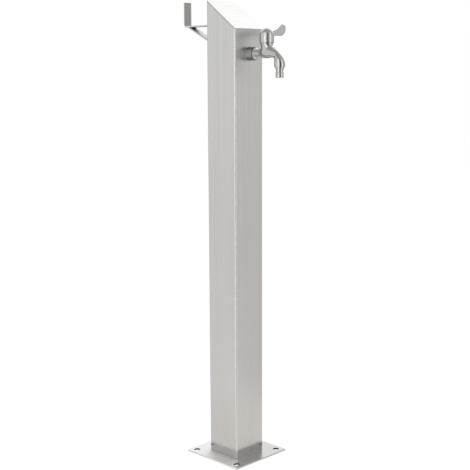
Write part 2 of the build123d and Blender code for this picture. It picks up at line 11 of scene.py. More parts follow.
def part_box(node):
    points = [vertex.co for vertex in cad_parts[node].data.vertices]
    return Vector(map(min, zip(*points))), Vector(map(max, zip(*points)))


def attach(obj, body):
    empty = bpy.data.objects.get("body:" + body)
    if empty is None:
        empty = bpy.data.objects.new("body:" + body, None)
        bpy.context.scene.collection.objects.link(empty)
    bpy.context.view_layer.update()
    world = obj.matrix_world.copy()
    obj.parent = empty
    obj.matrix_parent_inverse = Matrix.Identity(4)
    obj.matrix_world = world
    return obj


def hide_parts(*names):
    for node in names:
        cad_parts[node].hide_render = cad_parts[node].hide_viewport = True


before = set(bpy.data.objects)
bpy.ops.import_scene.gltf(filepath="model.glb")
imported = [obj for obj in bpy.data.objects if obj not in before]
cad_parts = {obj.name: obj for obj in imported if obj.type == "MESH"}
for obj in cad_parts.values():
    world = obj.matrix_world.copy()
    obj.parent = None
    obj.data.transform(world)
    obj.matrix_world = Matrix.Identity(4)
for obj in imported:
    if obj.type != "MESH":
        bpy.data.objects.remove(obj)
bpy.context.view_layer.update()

bl_info = {
    "name": "Garden standpipe",
    "version": (1, 0, 0),
    "blender": (4, 5, 0),
    "location": "View3D > Sidebar > Standpipe",
    "description": "Dresses a garden standpipe with steel finishes, a cast tap, a turned nozzle and welds",
    "category": "Object",
}

MM = 0.001
FIXED_BODY = "standpipe"
HANDLE_BODY = "tap_handle"


def node_box(name):
    """Return a node's lowest and highest corners in millimetres."""
    low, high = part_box(name)
    return np.array(low) / MM, np.array(high) / MM


COLUMN_LOW, COLUMN_HIGH = node_box("column_tube")
PLATE_HIGH = node_box("base_plate")[1]
SOCKET_LOW, SOCKET_HIGH = node_box("tap_socket")
BODY_LOW, BODY_HIGH = node_box("tap_body")
HANDLE_LOW, HANDLE_HIGH = node_box("handle")
SPINDLE_LOW, SPINDLE_HIGH = node_box("spindle")
NOZZLE_LOW, NOZZLE_HIGH = node_box("hose_nozzle")
HOOK_LOW, HOOK_HIGH = node_box("hanger_hook")
BRACE_LOW = node_box("hanger_brace")[0]
VALVE_Y = (SPINDLE_LOW[1] + SPINDLE_HIGH[1]) / 2
OUTLET_Y = (NOZZLE_LOW[1] + NOZZLE_HIGH[1]) / 2
TAP_Z = (SOCKET_LOW[2] + SOCKET_HIGH[2]) / 2
OUTLET_Z = BODY_LOW[2]
COLLAR_Z = BODY_HIGH[2]

# The camera, solved from the corners of the column and the plate: X to the right in its picture, Z back
CAMERA_PLACE = (-1.43699, -1.42986, 0.80269)
CAMERA_X = (0.70523, -0.70898, -0.00467)
CAMERA_Z = (-0.69917, -0.69656, 0.16113)

LAMP_SIZE = 1.6
LAMP_PLACE = (-0.9, 0.4, 2.6)
LAMP_AIM = (0.0, 0.0, 0.5)

FLOOR_HALF = 6.0
FLOOR_DROP = 0.0002
FLOOR_GREY = 0.14
NEAR_FLOOR_SHADOW_TONE = (0.80, 0.795, 0.785)

# The studio's tones: each row is (1 + cosine) / 2 of the angle with a direction, and the tone there.
# The bands are read with BANDS_CENTRE, the ceiling with TOWARDS_CAMERA and its sides with CAMERA_RIGHT.
TOWARDS_CAMERA = (-0.7071, -0.7071, 0.0)
CAMERA_RIGHT = (0.7071, -0.7071, 0.0)
BANDS_CENTRE = (-0.515, -0.857, 0.0)
RIGHT_DIMMING = 0.72
RAMP_TOP = 2.0
HORIZON_BANDS = (
    (0.0, 0.2), (0.1, 0.28), (0.25, 0.72), (0.38, 0.92), (0.5, 0.88), (0.62, 0.82), (0.69, 0.78),
    (0.75, 1.0), (0.821, 1.9), (0.872, 1.9), (0.918, 1.3), (0.948, 0.76), (0.980, 0.70), (0.991, 0.14),
    (1.0, 0.02),
)
CEILING_BANDS = ((0.0, 1.5), (0.2, 1.6), (0.27, 1.5), (0.33, 0.8), (0.40, 0.55), (1.0, 0.5))
CEILING_SIDES = (
    (0.0, 1.15), (0.07, 0.9), (0.16, 0.8), (0.41, 0.85), (0.455, 0.8), (0.53, 0.8), (0.65, 1.03),
    (0.85, 1.0), (1.0, 0.6),
)

# Steel: how its slow patches differ from its own colour, and the painted light and shade at some of its
# places
NOISE_REACH = (0.3, 0.7)
STEEL_PATCHES = (5, 5, 4)
MOULD_GRAIN = 400
WARM_TINT = (1.015, 0.995, 0.985)
COOL_TINT = (0.985, 1.005, 1.0)
LOW_TINT = (1.01, 0.985, 0.985)
CAP_TINT = (0.905, 0.92, 0.945)
CAP_EDGE_SHADE_TONE = (0.42, 0.42, 0.41)
CORNER_HIGHLIGHT_TONE = (0.80, 0.79, 0.77)
FOOT_REFLECTION_TONE = (0.63, 0.62, 0.61)
PLATE_LEFT_LIGHT_TONE = (0.98, 0.965, 0.955)
PLATE_FAR_LIGHT_TONE = (0.89, 0.885, 0.87)
HOLE_SHADE_TONE = (0.03, 0.03, 0.03)
ARM_HIGHLIGHT_TONE = (0.69, 0.685, 0.67)
SOCKET_EDGE_SHADE_TONE = (0.2, 0.2, 0.19)
BODY_SIDE_SHADE_TONE = (0.58, 0.575, 0.56)
INLET_TONE = (0.76, 0.75, 0.74)
GAP_SHADE_TONE = (0.04, 0.04, 0.04)
LEVER_LIGHT_TONE = (0.70, 0.70, 0.69)

# Sizes in millimetres: the anchor holes, the weld beads and the shoulder behind the inlet's washer
HOLE_PLACE = 60.0
HOLE_RADIUS = 6.0
BEAD_RADIUS = 0.9
BEAD_PITCH = 3.5
BEAD_SINK = 0.1
BEAD_SWELL = 0.12
BEAD_SIDES = 10
SHOULDER_Y = SOCKET_LOW[1] - 1.0


class StandpipeFinish(bpy.types.PropertyGroup):
    """Colours and roughnesses of the steels."""

    column_colour: FloatVectorProperty(
        name="Column steel", description="Colour of the brushed sheet and tube", subtype="COLOR", size=3,
        default=(0.74, 0.73, 0.707), min=0.0, max=1.0,
    )
    tap_colour: FloatVectorProperty(
        name="Tap steel", description="Colour of the polished castings", subtype="COLOR", size=3,
        default=(0.63, 0.625, 0.61), min=0.0, max=1.0,
    )
    brass_colour: FloatVectorProperty(
        name="Brass", description="Colour of the fittings inside", subtype="COLOR", size=3,
        default=(0.72, 0.56, 0.30), min=0.0, max=1.0,
    )
    column_roughness: FloatProperty(
        name="Column roughness", description="Roughness of the brushed sheet and tube", default=0.32,
        min=0.0, max=1.0, subtype="FACTOR",
    )
    tap_roughness: FloatProperty(
        name="Tap roughness", description="Roughness of the polished castings", default=0.13,
        min=0.0, max=1.0, subtype="FACTOR",
    )


class StandpipeTap(bpy.types.PropertyGroup):
    """Sizes of the cast tap and its handle, in millimetres."""

    grid_step: FloatProperty(
        name="Grid step", description="Spacing of the grid that the castings are worked out on",
        default=0.5, min=0.2,
    )
    pipe_radius: FloatProperty(name="Pipe radius", description="Radius of the level inlet pipe", default=8.95)
    shoulder_radius: FloatProperty(
        name="Shoulder radius", description="Radius of the shoulder at the socket", default=11.8,
    )
    barrel_radius: FloatProperty(
        name="Barrel radius", description="Radius of the upright barrel at its waist", default=10.4,
    )
    collar_radius: FloatProperty(
        name="Collar radius", description="Radius of the barrel's rim below the handle", default=13.2,
    )
    crotch: FloatProperty(
        name="Crotch blend", description="Size of the soft blend where pipe and barrel meet", default=9.0,
    )
    skirt_radius: FloatProperty(
        name="Skirt radius", description="Radius of the handle's skirt and of its round crown", default=14.3,
    )
    satin: FloatProperty(
        name="Satin", description="How much rougher the handle is than the body", default=0.12,
        min=0.0, max=0.5,
    )
    lever_thickness: FloatProperty(
        name="Lever thickness", description="Thickness of the lever's plate", default=3.6,
    )


class StandpipeStage(bpy.types.PropertyGroup):
    """Floor, light and camera."""

    lens: FloatProperty(name="Lens", description="Focal length of the camera", default=75.49, unit="CAMERA")
    lamp_power: FloatProperty(
        name="Lamp power", description="Power of the soft overhead lamp", default=9.0, unit="POWER",
    )
    floor_glow: FloatProperty(
        name="Floor glow", description="Share of white that the floor shows without light", default=0.94,
        min=0.0, max=1.0, subtype="FACTOR",
    )


def finish_settings():
    """Return the scene's steel settings."""
    return bpy.context.scene.standpipe_finish


def tap_settings():
    """Return the scene's tap sizes."""
    return bpy.context.scene.standpipe_tap


def stage_settings():
    """Return the scene's stage settings."""
    return bpy.context.scene.standpipe_stage


# Mesh helpers


def mesh_piece(name, points, faces, body):
    """Make a smooth piece from points in millimetres and faces, riding on a body."""
    mesh = bpy.data.meshes.new(name)
    mesh.from_pydata((np.asarray(points) * MM).tolist(), [], np.asarray(faces).tolist())
    mesh.validate()
    mesh.polygons.foreach_set("use_smooth", [True] * len(mesh.polygons))
    mesh.update()
    piece = bpy.data.objects.new(name, mesh)
    bpy.context.scene.collection.objects.link(piece)
    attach(piece, body)
    return piece


def wrap_faces(rows, columns):
    """Return the quads of a grid whose rows and columns both join round.

    Point (i, j) is number i * columns + j, and each quad joins (i, j), (i, j+1), (i+1, j+1) and (i+1, j).
    """
    i, j = np.meshgrid(np.arange(rows), np.arange(columns), indexing="ij")
    i, j = i.ravel(), j.ravel()
    below = (i + 1) % rows * columns
    beside = (j + 1) % columns
    return np.stack([i * columns + j, i * columns + beside, below + beside, below + j], axis=1)


def rounded_outline(corners, radii, steps=6):
    """Return a closed outline with each corner rounded.

    Each rounded corner is the curve that starts a radius before the corner, ends a radius after it and
    is pulled towards it: (1-t)^2 start + 2t(1-t) corner + t^2 end.
    """
    corners = np.asarray(corners, float)
    t = np.linspace(0, 1, steps)[:, None]
    rows = []
    neighbours = np.roll(corners, 1, 0), np.roll(corners, -1, 0)
    for corner, radius, before, after in zip(corners, radii, *neighbours):
        if radius == 0:
            rows.append(corner[None])
            continue
        start = corner + radius * (before - corner) / np.linalg.norm(before - corner)
        end = corner + radius * (after - corner) / np.linalg.norm(after - corner)
        rows.append((1 - t) ** 2 * start + 2 * t * (1 - t) * corner + t ** 2 * end)
    return np.concatenate(rows)


def turned_piece(name, rows, centre_y, body, columns=96):
    """Make a turned ring: a closed outline of radius and height carried round an upright axis.

    Each row holds a corner's radius, height and rounding. A point at angle a is
    (radius cos a, centre_y + radius sin a, height).
    """
    outline = rounded_outline(rows[:, :2], rows[:, 2])
    angle = np.linspace(0, 2 * pi, columns, endpoint=False)
    radius, height = outline[:, :1], outline[:, 1:]
    points = np.stack(
        [radius * np.cos(angle), centre_y + radius * np.sin(angle), height + 0 * angle], axis=2
    ).reshape(-1, 3)
    return mesh_piece(name, points, wrap_faces(len(outline), columns), body)


def weld_bead(name, path, sides, radius, pitch):
    """Make a weld bead: a round section carried along a closed path, swelling a little at each ripple.

    The section at path length s is a circle of radius r (1 + 0.12 cos(2 pi s / pitch)), with the pitch
    fitted to the path's length, in the plane of the two directions given for each point of the path.
    """
    path = np.asarray(path, float)
    steps = np.linalg.norm(np.roll(path, -1, 0) - path, axis=1)
    along = np.concatenate([[0], np.cumsum(steps)[:-1]])
    ripples = max(1, round(steps.sum() / pitch))
    swell = radius * (1 + BEAD_SWELL * np.cos(2 * pi * ripples * along / steps.sum()))[:, None, None]
    first, second = sides
    angle = np.linspace(0, 2 * pi, BEAD_SIDES, endpoint=False)[None, :, None]
    points = path[:, None] + swell * (np.cos(angle) * first[:, None] + np.sin(angle) * second[:, None])
    faces = wrap_faces(len(path), BEAD_SIDES)
    return mesh_piece(name, points.reshape(-1, 3), faces, FIXED_BODY)


def ring(count):
    """Return angles round a turn, and the directions that they point in, in the plane of X and Z."""
    angle = np.linspace(0, 2 * pi, count, endpoint=False)
    return angle, np.stack([np.cos(angle), 0 * angle, np.sin(angle)], axis=1)


# Castings are the zero surface of a field of signed distances, which is negative inside


def soft_min(a, b, blend):
    """Join two fields with a soft crotch: the lower one, less blend h(1-h), where h is their clipped mix."""
    mix = np.clip(0.5 + 0.5 * (b - a) / blend, 0, 1)
    return b * (1 - mix) + a * mix - blend * mix * (1 - mix)


def soft_max(a, b, blend):
    """Meet two fields with a rounded edge, as the soft minimum of their negatives, turned back."""
    return -soft_min(-a, -b, blend)


def from_level_line(axes, height):
    """Return each grid point's distance from a line along Y at a height."""
    x, y, z = axes
    return np.sqrt(x ** 2 + (z - height) ** 2) + 0 * y


def from_upright_line(axes, centre_y):
    """Return each grid point's distance from an upright line."""
    x, y, z = axes
    return np.sqrt(x ** 2 + (y - centre_y) ** 2) + 0 * z


def from_point(axes, centre_y, height):
    """Return each grid point's distance from a point in the plane of symmetry."""
    x, y, z = axes
    return np.sqrt(x ** 2 + (y - centre_y) ** 2 + (z - height) ** 2)


def casting_grid(low, high):
    """Return the step of the castings' grid over a box, and its three axes, shaped to combine into one.

    Its margin of 2.3 steps keeps the grid's planes off the low faces of the box.
    """
    step = tap_settings().grid_step * 1
    x, y, z = (np.arange(a - 2.3 * step, b + 3 * step, step) for a, b in zip(low, high))
    return step, (x[:, None, None], y[None, :, None], z[None, None, :])


def surface_net(field, axes, step):
    """Return the points and quads of the surface where a field on a box grid is zero.

    Each cell that the surface crosses gets one point, the mean of the places where the field, taken as
    straight along the cell's edges, is zero. Each grid edge that the surface crosses joins the points of
    its four cells in a quad that faces the positive side.
    """
    cells = [size - 1 for size in field.shape]
    total = np.zeros(cells + [3])
    count = np.zeros(cells)
    crossings = []
    for axis in range(3):
        side, rise = [k for k in range(3) if k != axis]
        lower = np.take(field, range(cells[axis]), axis)
        upper = np.take(field, range(1, cells[axis] + 1), axis)
        crossing = (lower < 0) != (upper < 0)
        share = np.where(crossing, lower / np.where(crossing, lower - upper, 1), 0)
        crossings.append((crossing, lower < 0))
        for p in (0, 1):
            for q in (0, 1):
                part = [slice(None)] * 3
                part[side] = slice(p, p + cells[side])
                part[rise] = slice(q, q + cells[rise])
                crossed = crossing[tuple(part)]
                count += crossed
                total[..., axis] += share[tuple(part)]
                total[..., side] += crossed * p
                total[..., rise] += crossed * q
    used = count > 0
    number = np.full(cells, -1)
    number[used] = np.arange(used.sum())
    start = np.array([axis.ravel()[0] for axis in axes])
    points = start + step * (np.argwhere(used) + total[used] / count[used][:, None])
    quads = []
    for axis, (crossing, inside_below) in enumerate(crossings):
        side, rise = [k for k in range(3) if k != axis]
        inner = [slice(None)] * 3
        inner[side] = slice(1, field.shape[side] - 1)
        inner[rise] = slice(1, field.shape[rise] - 1)
        edges = np.argwhere(crossing[tuple(inner)])
        edges[:, side] += 1
        edges[:, rise] += 1
        outward = inside_below[tuple(edges.T)] != (axis == 1)
        corners = []
        for p, q in ((-1, -1), (0, -1), (0, 0), (-1, 0)):
            cell = edges.copy()
            cell[:, side] += p
            cell[:, rise] += q
            corners.append(number[tuple(cell.T)])
        quad = np.stack(corners, axis=1)
        quads.append(np.where(outward[:, None], quad, quad[:, ::-1]))
    return points, np.concatenate(quads)


def cast_piece(name, make_field, low, high, body):
    """Make a casting from its field over a box, and ease its faces with a light smoothing."""
    step, axes = casting_grid(low, high)
    points, quads = surface_net(make_field(axes, tap_settings()), axes, step)
    piece = mesh_piece(name, points, quads, body)
    easing = piece.modifiers.new("easing", "SMOOTH")
    easing.factor = 0.5
    easing.iterations = 3
    return piece


def smooth_rows(rows, count):
    """Return points along the smooth curve through rows of numbers.

    Between rows b and c, with neighbours a and d, the value at t is
    b + t (c-a)/2 + t^2 (a - 5b/2 + 2c - d/2) + t^3 (3(b-c)+d-a)/2.
    """
    rows = np.asarray(rows, float)
    padded = np.vstack([2 * rows[0] - rows[1], rows, 2 * rows[-1] - rows[-2]])
    place = np.linspace(0, len(rows) - 1 - 1e-9, count)
    k = place.astype(int)
    t = (place - k)[:, None]
    a, b, c, d = padded[k], padded[k + 1], padded[k + 2], padded[k + 3]
    return b + t * (c - a) / 2 + t ** 2 * (a - 2.5 * b + 2 * c - d / 2) + t ** 3 * (3 * (b - c) + d - a) / 2


# Material helpers


def group_tree(name, inputs, outputs):
    """Make a shader node group with named sockets, and return it with its input node and its output node."""
    tree = bpy.data.node_groups.new(name, "ShaderNodeTree")
    for label, kind, value in inputs:
        tree.interface.new_socket(label, in_out="INPUT", socket_type=kind).default_value = value
    for label, kind in outputs:
        tree.interface.new_socket(label, in_out="OUTPUT", socket_type=kind)
    return tree, add_node(tree, "NodeGroupInput"), add_node(tree, "NodeGroupOutput")


def add_node(tree, kind, **settings):
    """Add a node, with its properties given by name."""
    node = tree.nodes.new(kind)
    for key, value in settings.items():
        setattr(node, key, value)
    return node


def feed(tree, value, socket):
    """Link an output to a socket, or set the socket to a number, a direction or a colour."""
    if isinstance(value, bpy.types.NodeSocket):
        tree.links.new(value, socket)
    elif socket.type == "RGBA":
        socket.default_value = (*value, 1.0)
    else:
        socket.default_value = value


def math_node(tree, operation, *values):
    """Add a step of arithmetic on numbers or outputs, and return its output."""
    node = add_node(tree, "ShaderNodeMath", operation=operation)
    for value, socket in zip(values, node.inputs):
        feed(tree, value, socket)
    return node.outputs[0]


def vector_node(tree, operation, *values):
    """Add a step of arithmetic on directions, and return its output, a number where the step gives one."""
    node = add_node(tree, "ShaderNodeVectorMath", operation=operation)
    sockets = (node.inputs[0], node.inputs["Scale"]) if operation == "SCALE" else node.inputs
    for value, socket in zip(values, sockets):
        feed(tree, value, socket)
    gives_number = operation in ("LENGTH", "DISTANCE", "DOT_PRODUCT")
    return node.outputs["Value" if gives_number else "Vector"]


def object_place(tree):
    """Add a node that puts out the place on the piece, and return its output."""
    return add_node(tree, "ShaderNodeTexCoord").outputs["Object"]


def ranged(tree, value, from_low, from_high, to_low, to_high, kind="SMOOTHSTEP"):
    """Add a node that maps one range onto another and holds its ends, and return its output."""
    node = add_node(tree, "ShaderNodeMapRange", interpolation_type=kind)
    for number, socket in zip((value, from_low, from_high, to_low, to_high), node.inputs):
        feed(tree, number, socket)
    return node.outputs["Result"]


def mapped(tree, noise, low, high):
    """Map a noise's usual reach onto a range, and return the output."""
    return ranged(tree, noise, *NOISE_REACH, low, high, "LINEAR")


def mixed(tree, factor, first, second, mode="MIX"):
    """Add a mix of two colours or outputs, which are a colour mix's inputs 6 and 7, and return its output."""
    node = add_node(tree, "ShaderNodeMix", data_type="RGBA", blend_type=mode)
    for value, socket in ((factor, node.inputs[0]), (first, node.inputs[6]), (second, node.inputs[7])):
        feed(tree, value, socket)
    return node.outputs[2]


def stretched_noise(tree, vector, density, detail):
    """Add a noise whose coordinates are multiplied by a density for each axis, and return its output."""
    noise = add_node(tree, "ShaderNodeTexNoise")
    noise.inputs["Scale"].default_value = 1.0
    noise.inputs["Detail"].default_value = detail
    noise.inputs["Roughness"].default_value = 0.55
    feed(tree, vector_node(tree, "MULTIPLY", vector, density), noise.inputs["Vector"])
    return noise.outputs["Fac"]


def brushed_group():
    """Return the group that puts out brush lines, broad streaks and slow patches."""
    name = "brushed grain"
    if name in bpy.data.node_groups:
        return bpy.data.node_groups[name]
    tree, source, result = group_tree(
        name,
        [
            ("Vector", "NodeSocketVector", (0, 0, 0)),
            ("Lines", "NodeSocketVector", (1500, 1500, 25)),
            ("Streaks", "NodeSocketVector", (150, 150, 2)),
            ("Patches", "NodeSocketVector", (6, 6, 6)),
        ],
        [("Lines", "NodeSocketFloat"), ("Streaks", "NodeSocketFloat"), ("Patches", "NodeSocketFloat")],
    )
    for label, detail in (("Lines", 3.0), ("Streaks", 4.0), ("Patches", 2.0)):
        noise = stretched_noise(tree, source.outputs["Vector"], source.outputs[label], detail)
        tree.links.new(noise, result.inputs[label])
    return tree


def handling_group():
    """Return the group that puts out the dull marks that water and handling leave."""
    name = "handling marks"
    if name in bpy.data.node_groups:
        return bpy.data.node_groups[name]
    tree, source, result = group_tree(
        name,
        [
            ("Vector", "NodeSocketVector", (0, 0, 0)),
            ("Density", "NodeSocketVector", (60, 60, 60)),
            ("Threshold", "NodeSocketFloat", 0.56),
        ],
        [("Marks", "NodeSocketFloat")],
    )
    noise = stretched_noise(tree, source.outputs["Vector"], source.outputs["Density"], 5.0)
    marks = ranged(tree, noise, source.outputs["Threshold"], 0.75, 0.0, 1.0)
    tree.links.new(marks, result.inputs["Marks"])
    return tree


def place_group(tree, group, vector, **values):
    """Add a node group that reads a vector, with its other inputs set by name, and return its node."""
    node = add_node(tree, "ShaderNodeGroup", node_tree=group)
    tree.links.new(vector, node.inputs[0])
    for label, value in values.items():
        node.inputs[label].default_value = value
    return node


def new_material(name):
    """Make a material, and return it with its tree and its shader."""
    material = bpy.data.materials.new(name)
    material.use_nodes = True
    return material, material.node_tree, material.node_tree.nodes["Principled BSDF"]


def add_relief(tree, shader, pattern, strength, depth):
    """Bend the shader's normal by a pattern's height, with its depth given in millimetres."""
    bump = add_node(tree, "ShaderNodeBump")
    bump.inputs["Strength"].default_value = strength
    bump.inputs["Distance"].default_value = depth * MM
    tree.links.new(pattern, bump.inputs["Height"])
    tree.links.new(bump.outputs["Normal"], shader.inputs["Normal"])


def steel(name, colour, roughness, lines, streaks, contrast=0.05, relief=0.02, anisotropy=0.0, marks=0.08):
    """Make a metal with brush lines, broad streaks, slow warm and cool patches and faint handling marks."""
    material, tree, shader = new_material(name)
    shader.inputs["Metallic"].default_value = 1.0
    shader.inputs["Anisotropic"].default_value = anisotropy
    place = object_place(tree)
    grain = place_group(tree, brushed_group(), place, Lines=lines, Streaks=streaks, Patches=STEEL_PATCHES)
    warm, cool = (tuple(np.clip(np.array(colour) * tint, 0, 1)) for tint in (WARM_TINT, COOL_TINT))
    dark, light = (1 - contrast,) * 3, (1.0,) * 3
    patchy = mixed(tree, mapped(tree, grain.outputs["Patches"], 0, 1), warm, cool)
    streaky = mixed(tree, mapped(tree, grain.outputs["Streaks"], 0, 1), dark, light)
    fine = mixed(tree, mapped(tree, grain.outputs["Lines"], 0, 0.5), light, dark)
    toned = mixed(tree, 1.0, mixed(tree, 1.0, patchy, streaky, "MULTIPLY"), fine, "MULTIPLY")
    tree.links.new(toned, shader.inputs["Base Color"])
    rough = mapped(tree, grain.outputs["Lines"], roughness - 0.05, roughness + 0.05)
    spots = place_group(tree, handling_group(), place)
    dulled = math_node(tree, "MULTIPLY_ADD", spots.outputs["Marks"], marks, rough)
    tree.links.new(dulled, shader.inputs["Roughness"])
    add_relief(tree, shader, grain.outputs["Lines"], 0.35, relief)
    if anisotropy:
        tangent = add_node(tree, "ShaderNodeTangent", direction_type="RADIAL", axis="Z")
        tree.links.new(tangent.outputs[0], shader.inputs["Tangent"])
    return material


def moulded(name, colour, roughness, relief=0.03, contrast=0.12):
    """Make a rubber, plastic or ceramic with a fine uneven surface."""
    material, tree, shader = new_material(name)
    grain = place_group(
        tree, brushed_group(), object_place(tree), Lines=(MOULD_GRAIN,) * 3, Streaks=(MOULD_GRAIN / 8,) * 3,
    )
    base = np.array(colour)
    tone = mixed(tree, mapped(tree, grain.outputs["Streaks"], 0, 1), base * (1 - contrast), base)
    tree.links.new(tone, shader.inputs["Base Color"])
    rough = mapped(tree, grain.outputs["Lines"], roughness - 0.06, roughness + 0.06)
    tree.links.new(rough, shader.inputs["Roughness"])
    add_relief(tree, shader, grain.outputs["Lines"], 0.4, relief)
    return material


def column_tone(share):
    """Return the column's colour times a share, or times one for each channel."""
    return np.array(finish_settings().column_colour) * share


def overlay(material, label, factor, value):
    """Mix a constant into what feeds one of the shader's sockets, by a mask that another node puts out."""
    tree = material.node_tree
    socket = tree.nodes["Principled BSDF"].inputs[label]
    source = socket.links[0].from_socket
    if socket.type == "RGBA":
        tree.links.new(mixed(tree, factor, source, value), socket)
        return
    node = add_node(tree, "ShaderNodeMix", data_type="FLOAT")
    for number, entry in zip((factor, source, value), (node.inputs[0], node.inputs[2], node.inputs[3])):
        feed(tree, number, entry)
    tree.links.new(node.outputs[0], socket)


def place_part(material, axis, absolute=False):
    """Add nodes that put out one coordinate of the place on the piece, or its size, and return the output."""
    tree = material.node_tree
    place = object_place(tree)
    if absolute:
        place = vector_node(tree, "ABSOLUTE", place)
    return vector_node(tree, "DOT_PRODUCT", place, [float(axis == name) for name in "XYZ"])


def fade(material, axis, low, high, rising=True, absolute=False):
    """Return a mask that turns between two places along an axis, in millimetres, from 0 to 1 or back."""
    ends = (0.0, 1.0) if rising else (1.0, 0.0)
    return ranged(material.node_tree, place_part(material, axis, absolute), low * MM, high * MM, *ends)


def height_band(material, height, near, far, inside=True):
    """Return a mask that is 1 within near of a height and 0 beyond far, in millimetres, or the opposite."""
    tree = material.node_tree
    gap = math_node(tree, "SUBTRACT", place_part(material, "Z"), height * MM)
    ends = (1.0, 0.0) if inside else (0.0, 1.0)
    return ranged(tree, math_node(tree, "ABSOLUTE", gap), near * MM, far * MM, *ends)


def dress(material, *names):
    """Give CAD nodes a material in their own slots."""
    for name in names:
        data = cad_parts[name].data
        data.materials.clear()
        data.materials.append(material)


def paint(piece, material):
    """Give a new piece its material."""
    piece.data.materials.append(material)
    return piece


# Operators, one for each piece or group of like pieces


class STANDPIPE_OT_stage(bpy.types.Operator):
    """Set up the white floor, the soft studio light and the camera."""

    bl_idname = "standpipe.stage"
    bl_label = "Set the stage"

    def execute(self, context):
        """Make the floor, the world, the lamp and the camera."""
        settings = stage_settings()
        context.scene.view_settings.view_transform = "Standard"
        make_floor(settings.floor_glow)
        make_world()
        make_lamp(settings.lamp_power)
        make_camera(settings.lens)
        return {"FINISHED"}


def make_floor(glow):
    """Make a plain white floor that keeps a faint shadow.

    Polished steel sees other tones in it: one flat darker tone close to the object, a painted shadow,
    the studio's bands further off, and almost black under the plate, a painted shadow too.
    """
    mesh = bpy.data.meshes.new("floor")
    half = FLOOR_HALF
    corners = [(-half, -half, 0), (half, -half, 0), (half, half, 0), (-half, half, 0)]
    mesh.from_pydata(corners, [], [(0, 1, 2, 3)])
    floor = bpy.data.objects.new("floor", mesh)
    floor.location.z = -FLOOR_DROP
    bpy.context.scene.collection.objects.link(floor)
    material = bpy.data.materials.new("floor")
    material.use_nodes = True
    tree = material.node_tree
    tree.nodes.clear()
    result = add_node(tree, "ShaderNodeOutputMaterial")
    matt = add_node(tree, "ShaderNodeBsdfDiffuse")
    feed(tree, (FLOOR_GREY,) * 3, matt.inputs["Color"])
    white = add_node(tree, "ShaderNodeEmission")
    feed(tree, (glow,) * 3, white.inputs["Color"])
    both = add_node(tree, "ShaderNodeAddShader")
    tree.links.new(matt.outputs[0], both.inputs[0])
    tree.links.new(white.outputs[0], both.inputs[1])
    place = object_place(tree)
    distance = vector_node(tree, "LENGTH", place)
    # Painted shadow: close to the object the floor shows polished steel a flat darker tone.
    close = ranged(tree, distance, 0.25, 0.6, 1.0, 0.0)
    bands = place_group(tree, bands_group(), place)
    dimming = ranged(tree, distance, 0.2, 1.2, 0.95, 0.91)
    size = vector_node(tree, "ABSOLUTE", place)
    square = math_node(
        tree, "MAXIMUM", vector_node(tree, "DOT_PRODUCT", size, (1, 0, 0)),
        vector_node(tree, "DOT_PRODUCT", size, (0, 1, 0)),
    )
    edge = PLATE_HIGH[0]
    # Painted shadow: the floor shows polished steel almost black under the plate.
    under = ranged(tree, square, (edge - 4.0) * MM, (edge - 1.0) * MM, 0.05, 1.0)
    mirrored = add_node(tree, "ShaderNodeEmission")
    feed(tree, mixed(tree, close, bands.outputs["Tone"], NEAR_FLOOR_SHADOW_TONE), mirrored.inputs["Color"])
    feed(tree, math_node(tree, "MULTIPLY", dimming, under), mirrored.inputs["Strength"])
    split_rays(tree, "Is Glossy Ray", both, mirrored, result)
    mesh.materials.append(material)


def split_rays(tree, kind, others, seen, result):
    """Show one shader to the rays of a kind and another to all others."""
    path = add_node(tree, "ShaderNodeLightPath")
    choice = add_node(tree, "ShaderNodeMixShader")
    for value, socket in zip((path.outputs[kind], others.outputs[0], seen.outputs[0]), choice.inputs):
        tree.links.new(value, socket)
    tree.links.new(choice.outputs[0], result.inputs[0])


def ramp_node(tree, value, stops):
    """Add a colour ramp of grey tones, brighter than white by RAMP_TOP at most, and return its output."""
    ramp = add_node(tree, "ShaderNodeValToRGB")
    tree.links.new(value, ramp.inputs[0])
    elements = ramp.color_ramp.elements
    while len(elements) < len(stops):
        elements.new(0.5)
    for element, (position, tone) in zip(elements, stops):
        element.position = position
        element.color = (*(tone / RAMP_TOP,) * 3, 1)
    return vector_node(tree, "SCALE", ramp.outputs[0], RAMP_TOP)


def facing(tree, vector, direction, low=0.0, high=1.0):
    """Map the cosine of the angle between two directions straight onto a range, and return the output."""
    return ranged(tree, vector_node(tree, "DOT_PRODUCT", vector, direction), -1, 1, low, high, "LINEAR")


def bands_group():
    """Return the group that gives the studio's tone round the horizon for a direction.

    The tone is read from a ramp of (1 + cosine) / 2 of the angle with a level direction a little to the
    right of the camera, and falls from the camera's left to its right.
    """
    name = "studio bands"
    if name in bpy.data.node_groups:
        return bpy.data.node_groups[name]
    tree, source, result = group_tree(
        name, [("Direction", "NodeSocketVector", (0, 0, 0))], [("Tone", "NodeSocketColor")],
    )
    level = vector_node(tree, "NORMALIZE", vector_node(tree, "MULTIPLY", source.outputs[0], (1, 1, 0)))
    bands = ramp_node(tree, facing(tree, level, BANDS_CENTRE), HORIZON_BANDS)
    side = facing(tree, level, CAMERA_RIGHT, 1.0, RIGHT_DIMMING)
    tree.links.new(vector_node(tree, "SCALE", bands, side), result.inputs["Tone"])
    return tree


